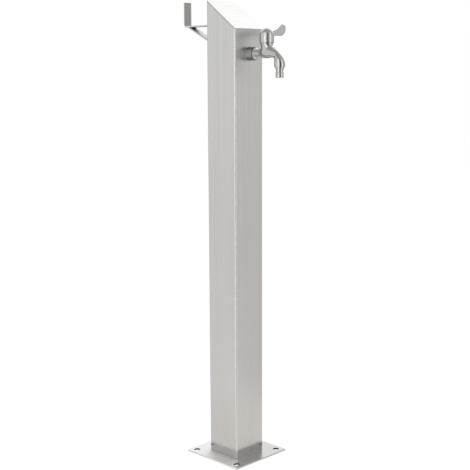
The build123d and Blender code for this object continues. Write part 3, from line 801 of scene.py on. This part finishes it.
def make_world():
    """Make a studio of soft panels: white to the camera, bands round the horizon, and a ceiling.

    The ceiling is bright behind the object and dim above the camera, and its tone also changes from the
    camera's left to its right. It takes over from the bands low behind the object, and only higher up
    above the camera.
    """
    world = bpy.data.worlds.new("studio")
    bpy.context.scene.world = world
    world.use_nodes = True
    tree = world.node_tree
    tree.nodes.clear()
    result = add_node(tree, "ShaderNodeOutputWorld")
    place = add_node(tree, "ShaderNodeTexCoord").outputs["Generated"]
    bands = place_group(tree, bands_group(), place)
    ceiling = ramp_node(tree, facing(tree, place, TOWARDS_CAMERA), CEILING_BANDS)
    sides = ramp_node(tree, facing(tree, place, CAMERA_RIGHT), CEILING_SIDES)
    towards = vector_node(tree, "DOT_PRODUCT", place, TOWARDS_CAMERA)
    height = vector_node(tree, "DOT_PRODUCT", place, (0, 0, 1))
    delay = ranged(tree, towards, -0.1, 0.3, 0.0, 0.32)
    climb = ranged(tree, math_node(tree, "SUBTRACT", height, delay), 0.1, 0.4, 0.0, 1.0)
    light = add_node(tree, "ShaderNodeBackground")
    dimmed = vector_node(tree, "MULTIPLY", ceiling, sides)
    feed(tree, mixed(tree, climb, bands.outputs["Tone"], dimmed), light.inputs["Color"])
    white = add_node(tree, "ShaderNodeBackground")
    feed(tree, (1, 1, 1), white.inputs["Color"])
    split_rays(tree, "Is Camera Ray", light, white, result)


def make_lamp(power):
    """Hang one large soft lamp above and to the left of the camera's view."""
    data = bpy.data.lights.new("overhead", "AREA")
    data.energy = power
    data.size = LAMP_SIZE
    lamp = bpy.data.objects.new("overhead", data)
    bpy.context.scene.collection.objects.link(lamp)
    lamp.location = LAMP_PLACE
    lamp.visible_glossy = False
    aim = Vector(LAMP_AIM) - lamp.location
    lamp.rotation_euler = aim.to_track_quat("-Z", "Y").to_euler()


def make_camera(lens):
    """Place the camera by its solved position and directions."""
    data = bpy.data.cameras.new("camera")
    data.lens = lens
    data.sensor_width = 36.0
    data.clip_end = 100.0
    camera = bpy.data.objects.new("camera", data)
    bpy.context.scene.collection.objects.link(camera)
    right = Vector(CAMERA_X).normalized()
    back = Vector(CAMERA_Z).normalized()
    turn = Matrix((right, back.cross(right), back)).transposed().to_4x4()
    camera.matrix_world = Matrix.Translation(CAMERA_PLACE) @ turn
    bpy.context.scene.camera = camera


class STANDPIPE_OT_column(bpy.types.Operator):
    """Finish the column tube, its slanted cap and the weld round its foot."""

    bl_idname = "standpipe.column"
    bl_label = "Finish the column"

    def execute(self, context):
        """Dress the tube and cap and add the weld at the plate."""
        settings = finish_settings()
        half = COLUMN_HIGH[0]
        tube = steel(
            "column steel", settings.column_colour, settings.column_roughness,
            lines=(1600, 1600, 12), streaks=(130, 130, 1.5), contrast=0.075, anisotropy=0.75,
        )
        finish_tube(tube, half)
        dress(tube, "column_tube")
        cap = steel(
            "cap steel", column_tone(CAP_TINT), settings.column_roughness,
            lines=(20, 1600, 1600), streaks=(3, 150, 150), contrast=0.04,
        )
        # Painted shade: a dark line along the cap's side edges.
        edge = fade(cap, "X", half - 0.5, half - 0.2, absolute=True)
        overlay(cap, "Base Color", edge, CAP_EDGE_SHADE_TONE)
        dress(cap, "top_cap")
        weld = steel(
            "weld steel", column_tone(0.6), 0.36, lines=(500, 500, 500), streaks=(90, 90, 90),
            contrast=0.12, relief=0.05, marks=0.2,
        )
        paint(foot_weld(half, PLATE_HIGH[2]), weld)
        return {"FINISHED"}


def finish_tube(material, half):
    """Paint a highlight on the tube's bent corners, warm its lower half a little, and polish its foot.

    The foot of the left face is darker too, a painted reflection of the plate that the face mirrors there.
    """
    tree = material.node_tree
    low = math_node(tree, "MULTIPLY", fade(material, "Z", 300, 800, rising=False), 0.5)
    overlay(material, "Base Color", low, column_tone(LOW_TINT))
    overlay(material, "Roughness", fade(material, "Z", 16, 40, rising=False), 0.18)
    # Painted reflection: the foot of the left face is darker.
    left = fade(material, "X", -half, 0.5 - half, rising=False)
    shade = math_node(tree, "MULTIPLY", left, fade(material, "Z", 16, 26, rising=False))
    overlay(material, "Base Color", shade, FOOT_REFLECTION_TONE)
    # Painted highlight: the tube's bent corners are lighter.
    sides = (place_part(material, axis, absolute=True) for axis in "XY")
    nearest = math_node(tree, "MINIMUM", *sides)
    corner = ranged(tree, nearest, (half - 3.6) * MM, (half - 2.4) * MM, 0.0, 1.0)
    overlay(material, "Base Color", corner, CORNER_HIGHLIGHT_TONE)
    overlay(material, "Roughness", corner, 0.26)


def square_path(half, corner, height, spacing, steps=7):
    """Return points round a square with round corners, with the outward direction at each."""
    straight = half - corner
    quarter = np.linspace(0, pi / 2, steps)
    side = np.arange(-straight + spacing, straight, spacing)
    arc_out = np.stack([np.cos(quarter), np.sin(quarter)], axis=1)
    edge = np.stack([np.full(len(side), half), side], axis=1)
    points = np.vstack([edge, straight + corner * arc_out])
    outs = np.vstack([np.tile([1.0, 0.0], (len(side), 1)), arc_out])
    turns = np.arange(4) * pi / 2
    spins = [np.array([[np.cos(turn), -np.sin(turn)], [np.sin(turn), np.cos(turn)]]) for turn in turns]
    points = np.vstack([points @ spin.T for spin in spins])
    outs = np.vstack([outs @ spin.T for spin in spins])
    level = np.full((len(points), 1), height)
    return np.hstack([points, level]), np.hstack([outs, 0 * level])


def foot_weld(half, height):
    """Make the thin weld where the tube stands on the plate."""
    path, outs = square_path(half - BEAD_SINK, 3.0, height + BEAD_SINK, 1.5)
    ups = np.tile([0.0, 0.0, 1.0], (len(path), 1))
    return weld_bead("foot_weld", path, (outs, ups), 0.7, 4.5)


class STANDPIPE_OT_base(bpy.types.Operator):
    """Finish the base plate."""

    bl_idname = "standpipe.base"
    bl_label = "Finish the base plate"

    def execute(self, context):
        """Dress the plate, brushed along Y, rougher in its left half, with painted light making it lighter
        there and towards its left, and painted shade in its holes.
        """
        plate = steel(
            "plate steel", column_tone(0.88), 0.24, lines=(1500, 20, 1500), streaks=(140, 3, 140),
            contrast=0.06, marks=0.12,
        )
        tree = plate.node_tree
        # Painted light: the plate's left half is lighter, and the plate grows lighter towards its left.
        across = math_node(tree, "SUBTRACT", place_part(plate, "X"), place_part(plate, "Y"))
        left = ranged(tree, across, -4 * MM, 2 * MM, 1.0, 0.0)
        overlay(plate, "Roughness", left, 0.62)
        overlay(plate, "Base Color", left, PLATE_LEFT_LIGHT_TONE)
        far = ranged(tree, across, -130 * MM, 90 * MM, 1.0, 0.0)
        overlay(plate, "Base Color", far, PLATE_FAR_LIGHT_TONE)
        # Painted shade: the walls of the anchor holes are almost black.
        quarter = vector_node(tree, "MULTIPLY", vector_node(tree, "ABSOLUTE", object_place(tree)), (1, 1, 0))
        away = vector_node(tree, "DISTANCE", quarter, (HOLE_PLACE * MM, HOLE_PLACE * MM, 0))
        wall = ranged(tree, away, (HOLE_RADIUS + 0.1) * MM, (HOLE_RADIUS + 0.5) * MM, 1.0, 0.0)
        overlay(plate, "Base Color", wall, HOLE_SHADE_TONE)
        dress(plate, "base_plate")
        return {"FINISHED"}


class STANDPIPE_OT_hanger(bpy.types.Operator):
    """Finish the hose hanger and the welds that hold it."""

    bl_idname = "standpipe.hanger"
    bl_label = "Finish the hose hanger"

    def execute(self, context):
        """Dress the bars, with a painted highlight along the arm, and add their welds on the back face."""
        bar = steel(
            "bar steel", column_tone(0.66), 0.30, lines=(1500, 30, 30), streaks=(160, 4, 4), contrast=0.08,
        )
        # Painted highlight: the arm is lighter than the rest of the bars.
        overlay(bar, "Base Color", height_band(bar, HOOK_LOW[2] + 1.5, 1.7, 2.2), ARM_HIGHLIGHT_TONE)
        dress(bar, "hanger_hook", "hanger_brace")
        weld = bpy.data.materials["weld steel"]
        for name, low_z, height in (("arm_weld", HOOK_LOW[2], 3.0), ("brace_weld", BRACE_LOW[2], 3.3)):
            paint(bar_weld(name, HOOK_LOW[0], HOOK_HIGH[0], COLUMN_HIGH[1], low_z, low_z + height), weld)
        return {"FINISHED"}


def bar_weld(name, low_x, high_x, face_y, low_z, high_z):
    """Make the weld round the end of a flat bar that stands on the back face."""
    centre = np.array([(low_x + high_x) / 2, face_y + BEAD_SINK, (low_z + high_z) / 2])
    angle, outs = ring(72)
    across = (high_x - low_x) / 2 / np.maximum(abs(np.cos(angle)), 1e-6)
    up = (high_z - low_z) / 2 / np.maximum(abs(np.sin(angle)), 1e-6)
    path = centre + np.minimum(across, up)[:, None] * outs
    away = np.tile([0.0, 1.0, 0.0], (len(path), 1))
    return weld_bead(name, path[::-1], (outs[::-1], away), BEAD_RADIUS, BEAD_PITCH)


class STANDPIPE_OT_socket(bpy.types.Operator):
    """Finish the tap's socket and the weld round it."""

    bl_idname = "standpipe.socket"
    bl_label = "Finish the socket"

    def execute(self, context):
        """Dress the socket, brushed round and with painted shade above and below, and add its weld."""
        turned = steel(
            "socket steel", column_tone(0.92), 0.45, lines=(60, 1500, 60), streaks=(15, 140, 15),
            contrast=0.05,
        )
        # Painted shade: the socket is dark above and below.
        overlay(turned, "Base Color", height_band(turned, TAP_Z, 5, 10, inside=False), SOCKET_EDGE_SHADE_TONE)
        dress(turned, "tap_socket")
        outs = ring(96)[1]
        path = np.array([0, COLUMN_LOW[1] - BEAD_SINK, TAP_Z]) + (SOCKET_HIGH[0] - SOCKET_LOW[0]) / 2 * outs
        away = np.tile([0.0, -1.0, 0.0], (len(path), 1))
        bead = weld_bead("socket_weld", path, (outs, away), BEAD_RADIUS, BEAD_PITCH)
        paint(bead, bpy.data.materials["weld steel"])
        return {"FINISHED"}


class STANDPIPE_OT_body(bpy.types.Operator):
    """Cast the tap's body: inlet, barrel and spout with soft blends between them."""

    bl_idname = "standpipe.body"
    bl_label = "Cast the tap body"

    def execute(self, context):
        """Make the body's surface in place of the plain one, and dress it.

        Its upper part and its inlet are duller than the rest, the inlet is lighter, painted shade darkens the
        sides at the pipe's height, and painted shade makes the gap at the shoulder almost black.
        """
        piece = cast_piece("cast_body", body_field, BODY_LOW, BODY_HIGH, FIXED_BODY)
        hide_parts("tap_body")
        material = polished("polished body")
        overlay(material, "Roughness", fade(material, "Z", TAP_Z - 2, TAP_Z + 8), 0.18)
        inlet = fade(material, "Y", VALVE_Y + 8, VALVE_Y + 13)
        overlay(material, "Roughness", inlet, 0.29)
        # Painted shade: the sides at the pipe's height are darker.
        overlay(material, "Base Color", height_band(material, TAP_Z, 7, 12), BODY_SIDE_SHADE_TONE)
        overlay(material, "Base Color", inlet, INLET_TONE)
        # Painted shade: the gap at the shoulder, behind the inlet's washer, is almost black.
        overlay(material, "Base Color", fade(material, "Y", SHOULDER_Y - 1.7, SHOULDER_Y - 1.1), GAP_SHADE_TONE)
        paint(piece, material)
        return {"FINISHED"}


# Spout: out from the valve's axis, down from the pipe's axis, radius, in millimetres
SPOUT_ROWS = (
    (-6.0, 0.0, 8.95),
    (2.0, -0.9, 9.3),
    (10.5, -2.2, 10.3),
    (19.0, -0.2, 9.2),
    (26.7, 3.9, 7.7),
    (31.6, 10.4, 8.9),
    (33.5, 17.0, 10.2),
    (34.2, 23.6, 10.8),
    (34.2, 30.0, 10.85),
)
SPOUT_WAY = ((6.0, -4.8, 3.9), (16.0, -3.4, 3.9), (25.5, 4.0, 3.9), (32.0, 11.0, 3.9), (34.5, 20.0, 3.9))


def swept_balls(axes, rows, count):
    """Return the field of a round arm: the least distance to balls set close along a smooth curve."""
    x, y, z = axes
    field = np.full(np.broadcast_shapes(x.shape, y.shape, z.shape), np.inf)
    for out, down, radius in smooth_rows(rows, count):
        np.minimum(field, from_point(axes, VALVE_Y - out, TAP_Z - down) - radius, out=field)
    return field


def body_field(axes, settings):
    """Return the tap body's field.

    A level pipe with a shoulder at the socket and the spout's swept balls are joined plainly, inside the
    upright barrel, which flares to a collar and ends in a half ball. The barrel meets them in a soft
    crotch. Then the inlet's thread is added and the inner ways are taken away.
    """
    y, z = axes[1:]
    shoulder_width, shoulder_slope, thread_radius = 1.2, 3.4, 10.4
    flare_height, flare_start, ball_rise = 11.0, 12.0, 4.0
    pipe, waist = settings.pipe_radius, settings.barrel_radius
    round_pipe = from_level_line(axes, TAP_Z)
    round_barrel = from_upright_line(axes, VALVE_Y)
    taper = np.clip(1 - (SHOULDER_Y - shoulder_width - y) / shoulder_slope, 0, 1)
    inlet_radius = pipe + (settings.shoulder_radius - pipe) * taper ** 2 * (3 - 2 * taper)
    inlet = soft_max(round_pipe - inlet_radius, np.maximum(y - SHOULDER_Y, VALVE_Y - y), 1.2)
    rise = np.clip(z - (COLLAR_Z - flare_start), 0, flare_height)
    spread = settings.collar_radius - waist
    sweep = (flare_height ** 2 + spread ** 2) / (2 * spread)
    flare = waist + sweep - np.sqrt(sweep ** 2 - rise ** 2)
    ball_z = TAP_Z - pipe + waist + ball_rise
    ball = from_point(axes, VALVE_Y, ball_z) - waist
    barrel = soft_max(np.where(z < ball_z, ball, round_barrel - flare), z - COLLAR_Z + 0 * y, 0.7)
    spout = soft_max(swept_balls(axes, SPOUT_ROWS, 90), OUTLET_Z - z + 0 * y, 1.0)
    field = soft_min(np.minimum(inlet, spout), barrel, settings.crotch)
    thread = np.maximum(round_pipe - thread_radius, np.maximum(y - BODY_HIGH[1], SHOULDER_Y - 1 - y))
    return np.maximum(np.minimum(field, thread), -inner_ways(axes, round_pipe, round_barrel))


def inner_ways(axes, round_pipe, round_barrel):
    """Return the field of the bores: inlet, seat, cartridge chamber, spout way and nozzle thread."""
    y, z = axes[1:]
    inlet_bore, way_bore, chamber_bore, outlet_bore = 6.0, 4.0, 8.6, 7.25
    seat_z = TAP_Z + 3.5
    way_z = TAP_Z - 3.45
    bore_end_y = VALVE_Y + 11.9
    ends = np.maximum(VALVE_Y - y, y - bore_end_y - 1)
    inlet = np.maximum(round_pipe - inlet_bore, bore_end_y - y)
    narrow = np.maximum(from_level_line(axes, way_z) - way_bore, ends)
    riser = np.maximum(round_barrel - way_bore, np.maximum(way_z - z, z - seat_z - 1))
    chamber = np.maximum(round_barrel - chamber_bore, seat_z - z)
    outlet = np.maximum(from_upright_line(axes, OUTLET_Y) - outlet_bore, z - OUTLET_Z - 7.4)
    ways = swept_balls(axes, SPOUT_WAY, 50)
    for bore in (inlet, narrow, riser, chamber, outlet):
        ways = np.minimum(ways, bore)
    return ways


class STANDPIPE_OT_handle(bpy.types.Operator):
    """Cast the handle: skirt, round crown and flat lever."""

    bl_idname = "standpipe.handle"
    bl_label = "Cast the handle"

    def execute(self, context):
        """Make the handle's surface in place of the plain one, and dress it, with painted light making the
        lever paler.
        """
        piece = cast_piece("cast_handle", handle_field, HANDLE_LOW, HANDLE_HIGH, HANDLE_BODY)
        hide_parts("handle")
        satin = polished("satin handle", tap_settings().satin)
        # Painted light: the lever is paler than the rest of the handle.
        overlay(satin, "Base Color", fade(satin, "X", 14, 17), LEVER_LIGHT_TONE)
        paint(piece, satin)
        return {"FINISHED"}


def lever_outline(reach, low_z):
    """Return the lever's outline in X and Z.

    It has a level underside, a round heel and a round tip, and a hollow upper edge, which is the curve
    (1-t)^3 start + 3t(1-t)^2 pull + 3t^2(1-t) push + t^3 root.
    """
    heel_radius, tip_radius, root_height = 15.0, 8.0, 8.0
    tip_turn, pull_turn, pull_length, push_length = radians(128), radians(218), 12.5, 25.0
    centre_z = low_z + heel_radius

    def arc(radius, angles):
        """Return points of an arc that touches the lever's reach."""
        across = reach - radius + radius * np.cos(angles)
        return np.stack([across, centre_z + radius * np.sin(angles)], 1)

    heel = arc(heel_radius, np.linspace(-pi / 2, 0, 12))
    tip = arc(tip_radius, np.linspace(0, tip_turn, 14)[1:])
    start = tip[-1]
    pull = start + pull_length * np.array([np.cos(pull_turn), np.sin(pull_turn)])
    root = np.array([0.0, low_z + root_height])
    push = root + (push_length, 0.0)
    t = np.linspace(0, 1, 14)[1:, None]
    hollow = (1 - t) ** 3 * start + 3 * t * (1 - t) ** 2 * pull + 3 * t ** 2 * (1 - t) * push + t ** 3 * root
    return np.vstack([heel, tip, hollow, [[0.0, low_z]]])


def outline_field(across, up, outline):
    """Return the signed distance to a closed outline on a flat grid.

    The size is the least distance to its edges, and the sign is negative where a level ray to the right
    crosses the outline an odd number of times.
    """
    field = np.full(np.broadcast_shapes(across.shape, up.shape), np.inf)
    inside = np.zeros(field.shape, bool)
    for (ax, az), (bx, bz) in zip(outline, np.roll(outline, -1, 0)):
        ex, ez = bx - ax, bz - az
        t = np.clip(((across - ax) * ex + (up - az) * ez) / max(ex * ex + ez * ez, 1e-12), 0, 1)
        np.minimum(field, np.hypot(across - ax - t * ex, up - az - t * ez), out=field)
        if ez:
            inside ^= ((az > up) != (bz > up)) & (across < ax + (up - az) * ex / ez)
    return np.where(inside, -field, field)


def handle_field(axes, settings):
    """Return the handle's field.

    A skirt under a half ball is joined to the lever's rounded plate, and the hollow under the skirt, the
    spindle's bore and the grub screw's hole are taken away.
    """
    x, y, z = axes
    handle_height, lever_height, wall = 29.0, 14.0, 2.0
    cavity_depth, bore_depth, bore_radius = 15.0, 23.0, 3.85
    grub_height, grub_radius = 18.2, 2.05
    skirt_z = COLLAR_Z + 0.5
    crown_z = skirt_z + handle_height - settings.skirt_radius
    round_barrel = from_upright_line(axes, VALVE_Y)
    ball = from_point(axes, VALVE_Y, crown_z)
    skirt = np.where(z < crown_z, round_barrel, ball) - settings.skirt_radius
    field = soft_max(skirt, skirt_z - 0.45 - z + 0 * y, 0.4)
    outline = lever_outline(HANDLE_HIGH[0], skirt_z + lever_height)
    plate = outline_field(x[:, 0, :], z[0], outline)[:, None, :]
    lever = soft_max(plate + 0 * y, np.abs(y - VALVE_Y) - settings.lever_thickness / 2 + 0 * x, 1.6)
    field = soft_min(field, lever, 2.4)
    cavity = np.maximum(round_barrel - settings.skirt_radius + wall, z - skirt_z - cavity_depth)
    bore = np.maximum(round_barrel - bore_radius, z - skirt_z - bore_depth)
    grub = np.maximum(from_level_line(axes, skirt_z + grub_height) - grub_radius, VALVE_Y - y)
    return np.maximum(field, -np.minimum(np.minimum(cavity, bore), grub))


def polished(name, duller=0.0):
    """Return the polished cast steel, or a duller one, with a faint unevenness that bends its reflections."""
    settings = finish_settings()
    return steel(
        name, settings.tap_colour, settings.tap_roughness + duller, lines=(260, 260, 260),
        streaks=(60, 60, 60), contrast=0.04, relief=0.01, marks=0.10,
    )


class STANDPIPE_OT_nozzle(bpy.types.Operator):
    """Turn the hose nozzle with its cone, neck and ribbed tip."""

    bl_idname = "standpipe.nozzle"
    bl_label = "Turn the nozzle"

    def execute(self, context):
        """Carry the nozzle's outline round the outlet's axis, in place of the plain nozzle."""
        top, low = NOZZLE_HIGH[2], NOZZLE_LOW[2]
        neck = OUTLET_Z - 8.8
        tip = neck - 0.8
        rows = np.array([  # radius, height, rounding of the corner
            (4.0, top, 0), (4.0, low, 0.5), (7.0, low, 0.4), (8.0, low + 1.4, 0.5), (8.0, tip - 4.4, 0.2),
            (7.6, tip - 3.9, 0.15), (7.6, tip - 3.3, 0.15), (8.0, tip - 2.8, 0.2), (8.0, tip - 0.8, 0.4),
            (7.5, tip, 0.3), (6.9, tip, 0.25), (6.9, neck, 0.8), (7.6, OUTLET_Z - 5.2, 1.2),
            (8.7, OUTLET_Z - 2.0, 0.6), (8.7, OUTLET_Z - 0.05, 0.4), (7.15, OUTLET_Z - 0.05, 0),
            (7.15, top, 0.3),
        ])
        piece = turned_piece("turned_nozzle", rows, OUTLET_Y, FIXED_BODY)
        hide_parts("hose_nozzle")
        bright = steel(
            "turned steel", finish_settings().tap_colour, 0.10, lines=(80, 80, 2500), streaks=(20, 20, 300),
            contrast=0.04, marks=0.06,
        )
        paint(piece, bright)
        return {"FINISHED"}


class STANDPIPE_OT_inside(bpy.types.Operator):
    """Finish the pieces inside the tap and the column."""

    bl_idname = "standpipe.inside"
    bl_label = "Finish the inner pieces"

    def execute(self, context):
        """Dress the brass, steel, ceramic, rubber and plastic pieces."""
        settings = finish_settings()
        brass = steel(
            "machined brass", settings.brass_colour, 0.28, lines=(60, 60, 1200), streaks=(20, 20, 90),
            contrast=0.08,
        )
        dress(
            brass, "cartridge_housing", "spindle", "riser_elbow", "supply_adapter", "upper_olive",
            "upper_nut", "lower_olive", "lower_nut",
        )
        drawn = steel(
            "drawn steel", settings.column_colour, 0.32, lines=(900, 900, 15), streaks=(90, 90, 2),
            contrast=0.06,
        )
        dress(drawn, "riser_tube", "handle_grub_screw", "spindle_circlip")
        ceramic = moulded("lapped ceramic", (0.86, 0.86, 0.84), 0.25, relief=0.01, contrast=0.04)
        dress(ceramic, "fixed_disc", "moving_disc")
        rubber = moulded("seal rubber", (0.035, 0.035, 0.035), 0.6)
        dress(
            rubber, "inlet_washer", "elbow_washer", "cartridge_gasket", "seat_seal", "nozzle_washer",
            "spindle_o_rings",
        )
        dress(moulded("moulded plastic", (0.78, 0.78, 0.75), 0.45), "flow_screen", "riser_guide")
        return {"FINISHED"}


class STANDPIPE_PT_panel(bpy.types.Panel):
    """List the standpipe's settings and steps."""

    bl_idname = "STANDPIPE_PT_panel"
    bl_label = "Garden standpipe"
    bl_space_type = "VIEW_3D"
    bl_region_type = "UI"
    bl_category = "Standpipe"

    def draw(self, context):
        """Draw the settings, then one button for each step."""
        for settings in (finish_settings(), tap_settings(), stage_settings()):
            for key in settings.__annotations__:
                self.layout.prop(settings, key)
        for operator in OPERATORS:
            self.layout.operator(operator.bl_idname)


GROUPS = {
    "standpipe_finish": StandpipeFinish,
    "standpipe_tap": StandpipeTap,
    "standpipe_stage": StandpipeStage,
}
OPERATORS = (
    STANDPIPE_OT_stage,
    STANDPIPE_OT_column,
    STANDPIPE_OT_base,
    STANDPIPE_OT_hanger,
    STANDPIPE_OT_socket,
    STANDPIPE_OT_body,
    STANDPIPE_OT_handle,
    STANDPIPE_OT_nozzle,
    STANDPIPE_OT_inside,
)


def register():
    """Register the classes and hang the settings on the scene."""
    for cls in (*GROUPS.values(), *OPERATORS, STANDPIPE_PT_panel):
        bpy.utils.register_class(cls)
    for name, cls in GROUPS.items():
        setattr(bpy.types.Scene, name, PointerProperty(type=cls))


def unregister():
    """Take the settings and the classes away again."""
    for name in GROUPS:
        delattr(bpy.types.Scene, name)
    for cls in reversed((*GROUPS.values(), *OPERATORS, STANDPIPE_PT_panel)):
        bpy.utils.unregister_class(cls)


def main():
    """Make the whole scene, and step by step."""
    register()
    for operator in OPERATORS:
        getattr(bpy.ops.standpipe, operator.bl_idname.split(".")[1])()


if __name__ == "__main__":
    main()
